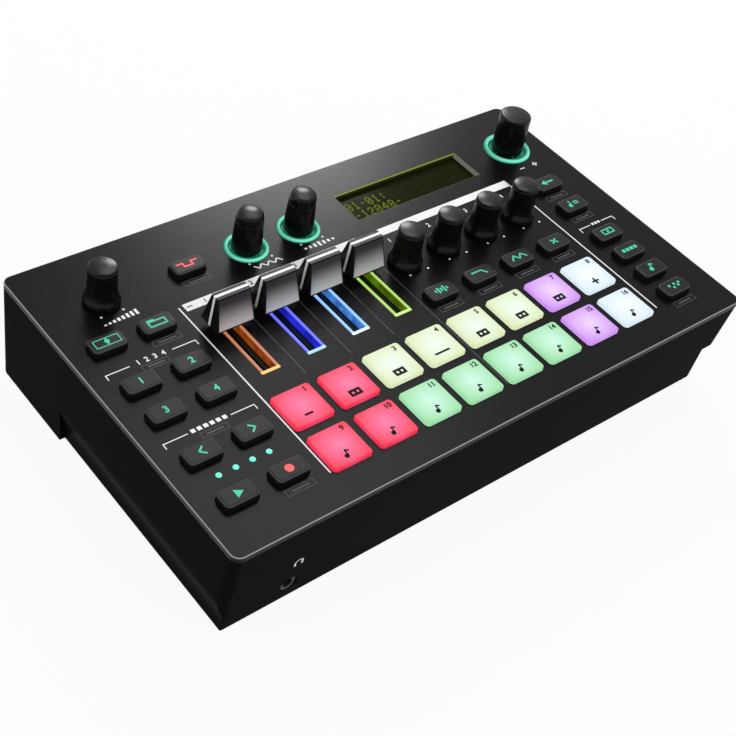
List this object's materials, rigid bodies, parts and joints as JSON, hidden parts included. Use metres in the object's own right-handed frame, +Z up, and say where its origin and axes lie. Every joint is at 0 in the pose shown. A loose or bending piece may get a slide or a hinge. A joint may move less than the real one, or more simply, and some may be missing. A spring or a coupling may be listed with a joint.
{
  "type": "groovebox",
  "caption": "Desktop groovebox with lit finger pads, slide faders, turning knobs, push buttons and a small character display in a flat black case.",
  "frame": {"origin": "under the middle of the case, on the surface that the feet stand on", "axes": "+X to the player's right along the long side, +Y towards the rear sockets, +Z up"},
  "size_m": [0.224, 0.133, 0.0582],
  "materials": {
    "panel": "fine matte",
    "case": "fine texture",
    "board": "solder mask",
    "display": "glossy",
    "light_guide": "translucent",
    "socket": "satin",
    "rubber": "matte",
    "screw_steel": "zinc plated",
    "key": "satin",
    "knob": "satin",
    "fader": "satin",
    "pad_red": "lit translucent",
    "pad_cream": "lit translucent",
    "pad_mint": "lit translucent",
    "pad_violet": "lit translucent",
    "pad_white": "lit translucent"
  },
  "bodies": {
    "root": {"top_panel": "panel", "lower_case": "case", "main_board": "board", "display_module": "display", "light_guides": "light_guide", "connectors": "socket", "feet": "rubber", "screws": "screw_steel"},
    "shift_button": {"shift_button": "key"},
    "project_button": {"project_button": "key"},
    "track_button_1": {"track_button_1": "key"},
    "track_button_2": {"track_button_2": "key"},
    "track_button_3": {"track_button_3": "key"},
    "track_button_4": {"track_button_4": "key"},
    "measure_back_button": {"measure_back_button": "key"},
    "measure_forward_button": {"measure_forward_button": "key"},
    "play_button": {"play_button": "key"},
    "record_button": {"record_button": "key"},
    "effect_button": {"effect_button": "key"},
    "sound_button": {"sound_button": "key"},
    "filter_button": {"filter_button": "key"},
    "modulation_button": {"modulation_button": "key"},
    "effect_send_button": {"effect_send_button": "key"},
    "exit_button": {"exit_button": "key"},
    "tempo_button": {"tempo_button": "key"},
    "clip_button": {"clip_button": "key"},
    "sequence_button": {"sequence_button": "key"},
    "note_button": {"note_button": "key"},
    "scatter_button": {"scatter_button": "key"},
    "pad_1": {"pad_1": "pad_red"},
    "pad_2": {"pad_2": "pad_red"},
    "pad_3": {"pad_3": "pad_cream"},
    "pad_4": {"pad_4": "pad_cream"},
    "pad_5": {"pad_5": "pad_cream"},
    "pad_6": {"pad_6": "pad_cream"},
    "pad_7": {"pad_7": "pad_violet"},
    "pad_8": {"pad_8": "pad_white"},
    "pad_9": {"pad_9": "pad_red"},
    "pad_10": {"pad_10": "pad_red"},
    "pad_11": {"pad_11": "pad_mint"},
    "pad_12": {"pad_12": "pad_mint"},
    "pad_13": {"pad_13": "pad_mint"},
    "pad_14": {"pad_14": "pad_mint"},
    "pad_15": {"pad_15": "pad_violet"},
    "pad_16": {"pad_16": "pad_white"},
    "volume_knob": {"volume_knob": "knob"},
    "control_knob_1": {"control_knob_1": "knob"},
    "control_knob_2": {"control_knob_2": "knob"},
    "control_knob_3": {"control_knob_3": "knob"},
    "control_knob_4": {"control_knob_4": "knob"},
    "effect_knob_1": {"effect_knob_1": "knob"},
    "effect_knob_2": {"effect_knob_2": "knob"},
    "value_plunger": {"value_plunger": "socket"},
    "value_knob": {"value_knob": "knob"},
    "fader_cap_1": {"fader_cap_1": "fader"},
    "fader_cap_2": {"fader_cap_2": "fader"},
    "fader_cap_3": {"fader_cap_3": "fader"},
    "fader_cap_4": {"fader_cap_4": "fader"},
    "power_switch": {"power_switch": "key"},
    "battery_door": {"battery_door": "case"}
  },
  "joints": [
    {"name": "shift_button_press", "type": "slide", "parent": "root", "child": "shift_button", "axis": [0, 0, -1], "range_m": [0, 0.0008], "stiffness_N_per_m": 1500},
    {"name": "project_button_press", "type": "slide", "parent": "root", "child": "project_button", "axis": [0, 0, -1], "range_m": [0, 0.0008], "stiffness_N_per_m": 1500},
    {"name": "track_button_1_press", "type": "slide", "parent": "root", "child": "track_button_1", "axis": [0, 0, -1], "range_m": [0, 0.0008], "stiffness_N_per_m": 1500},
    {"name": "track_button_2_press", "type": "slide", "parent": "root", "child": "track_button_2", "axis": [0, 0, -1], "range_m": [0, 0.0008], "stiffness_N_per_m": 1500},
    {"name": "track_button_3_press", "type": "slide", "parent": "root", "child": "track_button_3", "axis": [0, 0, -1], "range_m": [0, 0.0008], "stiffness_N_per_m": 1500},
    {"name": "track_button_4_press", "type": "slide", "parent": "root", "child": "track_button_4", "axis": [0, 0, -1], "range_m": [0, 0.0008], "stiffness_N_per_m": 1500},
    {"name": "measure_back_button_press", "type": "slide", "parent": "root", "child": "measure_back_button", "axis": [0, 0, -1], "range_m": [0, 0.0008], "stiffness_N_per_m": 1500},
    {"name": "measure_forward_button_press", "type": "slide", "parent": "root", "child": "measure_forward_button", "axis": [0, 0, -1], "range_m": [0, 0.0008], "stiffness_N_per_m": 1500},
    {"name": "play_button_press", "type": "slide", "parent": "root", "child": "play_button", "axis": [0, 0, -1], "range_m": [0, 0.0008], "stiffness_N_per_m": 1500},
    {"name": "record_button_press", "type": "slide", "parent": "root", "child": "record_button", "axis": [0, 0, -1], "range_m": [0, 0.0008], "stiffness_N_per_m": 1500},
    {"name": "effect_button_press", "type": "slide", "parent": "root", "child": "effect_button", "axis": [0, 0, -1], "range_m": [0, 0.0008], "stiffness_N_per_m": 1500},
    {"name": "sound_button_press", "type": "slide", "parent": "root", "child": "sound_button", "axis": [0, 0, -1], "range_m": [0, 0.0008], "stiffness_N_per_m": 1500},
    {"name": "filter_button_press", "type": "slide", "parent": "root", "child": "filter_button", "axis": [0, 0, -1], "range_m": [0, 0.0008], "stiffness_N_per_m": 1500},
    {"name": "modulation_button_press", "type": "slide", "parent": "root", "child": "modulation_button", "axis": [0, 0, -1], "range_m": [0, 0.0008], "stiffness_N_per_m": 1500},
    {"name": "effect_send_button_press", "type": "slide", "parent": "root", "child": "effect_send_button", "axis": [0, 0, -1], "range_m": [0, 0.0008], "stiffness_N_per_m": 1500},
    {"name": "exit_button_press", "type": "slide", "parent": "root", "child": "exit_button", "axis": [0, 0, -1], "range_m": [0, 0.0008], "stiffness_N_per_m": 1500},
    {"name": "tempo_button_press", "type": "slide", "parent": "root", "child": "tempo_button", "axis": [0, 0, -1], "range_m": [0, 0.0008], "stiffness_N_per_m": 1500},
    {"name": "clip_button_press", "type": "slide", "parent": "root", "child": "clip_button", "axis": [0, 0, -1], "range_m": [0, 0.0008], "stiffness_N_per_m": 1500},
    {"name": "sequence_button_press", "type": "slide", "parent": "root", "child": "sequence_button", "axis": [0, 0, -1], "range_m": [0, 0.0008], "stiffness_N_per_m": 1500},
    {"name": "note_button_press", "type": "slide", "parent": "root", "child": "note_button", "axis": [0, 0, -1], "range_m": [0, 0.0008], "stiffness_N_per_m": 1500},
    {"name": "scatter_button_press", "type": "slide", "parent": "root", "child": "scatter_button", "axis": [0, 0, -1], "range_m": [0, 0.0008], "stiffness_N_per_m": 1500},
    {"name": "pad_1_press", "type": "slide", "parent": "root", "child": "pad_1", "axis": [0, 0, -1], "range_m": [0, 0.001], "stiffness_N_per_m": 1500},
    {"name": "pad_2_press", "type": "slide", "parent": "root", "child": "pad_2", "axis": [0, 0, -1], "range_m": [0, 0.001], "stiffness_N_per_m": 1500},
    {"name": "pad_3_press", "type": "slide", "parent": "root", "child": "pad_3", "axis": [0, 0, -1], "range_m": [0, 0.001], "stiffness_N_per_m": 1500},
    {"name": "pad_4_press", "type": "slide", "parent": "root", "child": "pad_4", "axis": [0, 0, -1], "range_m": [0, 0.001], "stiffness_N_per_m": 1500},
    {"name": "pad_5_press", "type": "slide", "parent": "root", "child": "pad_5", "axis": [0, 0, -1], "range_m": [0, 0.001], "stiffness_N_per_m": 1500},
    {"name": "pad_6_press", "type": "slide", "parent": "root", "child": "pad_6", "axis": [0, 0, -1], "range_m": [0, 0.001], "stiffness_N_per_m": 1500},
    {"name": "pad_7_press", "type": "slide", "parent": "root", "child": "pad_7", "axis": [0, 0, -1], "range_m": [0, 0.001], "stiffness_N_per_m": 1500},
    {"name": "pad_8_press", "type": "slide", "parent": "root", "child": "pad_8", "axis": [0, 0, -1], "range_m": [0, 0.001], "stiffness_N_per_m": 1500},
    {"name": "pad_9_press", "type": "slide", "parent": "root", "child": "pad_9", "axis": [0, 0, -1], "range_m": [0, 0.001], "stiffness_N_per_m": 1500},
    {"name": "pad_10_press", "type": "slide", "parent": "root", "child": "pad_10", "axis": [0, 0, -1], "range_m": [0, 0.001], "stiffness_N_per_m": 1500},
    {"name": "pad_11_press", "type": "slide", "parent": "root", "child": "pad_11", "axis": [0, 0, -1], "range_m": [0, 0.001], "stiffness_N_per_m": 1500},
    {"name": "pad_12_press", "type": "slide", "parent": "root", "child": "pad_12", "axis": [0, 0, -1], "range_m": [0, 0.001], "stiffness_N_per_m": 1500},
    {"name": "pad_13_press", "type": "slide", "parent": "root", "child": "pad_13", "axis": [0, 0, -1], "range_m": [0, 0.001], "stiffness_N_per_m": 1500},
    {"name": "pad_14_press", "type": "slide", "parent": "root", "child": "pad_14", "axis": [0, 0, -1], "range_m": [0, 0.001], "stiffness_N_per_m": 1500},
    {"name": "pad_15_press", "type": "slide", "parent": "root", "child": "pad_15", "axis": [0, 0, -1], "range_m": [0, 0.001], "stiffness_N_per_m": 1500},
    {"name": "pad_16_press", "type": "slide", "parent": "root", "child": "pad_16", "axis": [0, 0, -1], "range_m": [0, 0.001], "stiffness_N_per_m": 1500},
    {"name": "volume_knob_turn", "type": "hinge", "parent": "root", "child": "volume_knob", "pos_m": [-0.08908, 0.04205, 0.05], "axis": [0, 0, 1], "range_deg": [-150, 150]},
    {"name": "control_knob_1_turn", "type": "hinge", "parent": "root", "child": "control_knob_1", "pos_m": [0.0132, 0.00945, 0.05], "axis": [0, 0, 1], "range_deg": [-150, 150]},
    {"name": "control_knob_2_turn", "type": "hinge", "parent": "root", "child": "control_knob_2", "pos_m": [0.03165, 0.00945, 0.05], "axis": [0, 0, 1], "range_deg": [-150, 150]},
    {"name": "control_knob_3_turn", "type": "hinge", "parent": "root", "child": "control_knob_3", "pos_m": [0.0501, 0.00945, 0.05], "axis": [0, 0, 1], "range_deg": [-150, 150]},
    {"name": "control_knob_4_turn", "type": "hinge", "parent": "root", "child": "control_knob_4", "pos_m": [0.06855, 0.00945, 0.05], "axis": [0, 0, 1], "range_deg": [-150, 150]},
    {"name": "effect_knob_1_turn", "type": "hinge", "parent": "root", "child": "effect_knob_1", "pos_m": [-0.03189, 0.04205, 0.05], "axis": [0, 0, 1], "range_deg": [-150, 150]},
    {"name": "effect_knob_2_turn", "type": "hinge", "parent": "root", "child": "effect_knob_2", "pos_m": [-0.00944, 0.04205, 0.05], "axis": [0, 0, 1], "range_deg": [-150, 150]},
    {"name": "value_push", "type": "slide", "parent": "root", "child": "value_plunger", "axis": [0, 0, -1], "range_m": [0, 0.0005], "stiffness_N_per_m": 3000},
    {"name": "value_turn", "type": "hinge", "parent": "value_plunger", "child": "value_knob", "pos_m": [0.0945, 0.04305, 0.05], "axis": [0, 0, 1], "continuous": true},
    {"name": "fader_1_slide", "type": "slide", "parent": "root", "child": "fader_cap_1", "axis": [0, -1, 0], "range_m": [0, 0.02]},
    {"name": "fader_2_slide", "type": "slide", "parent": "root", "child": "fader_cap_2", "axis": [0, -1, 0], "range_m": [0, 0.02]},
    {"name": "fader_3_slide", "type": "slide", "parent": "root", "child": "fader_cap_3", "axis": [0, -1, 0], "range_m": [0, 0.02]},
    {"name": "fader_4_slide", "type": "slide", "parent": "root", "child": "fader_cap_4", "axis": [0, -1, 0], "range_m": [0, 0.02]},
    {"name": "power_slide", "type": "slide", "parent": "root", "child": "power_switch", "axis": [1, 0, 0], "range_m": [0, 0.004]},
    {"name": "battery_door_swing", "type": "hinge", "parent": "root", "child": "battery_door", "pos_m": [0, -0.0358, 0.0008], "axis": [-1, 0, 0], "range_deg": [0, 75]}
  ]
}
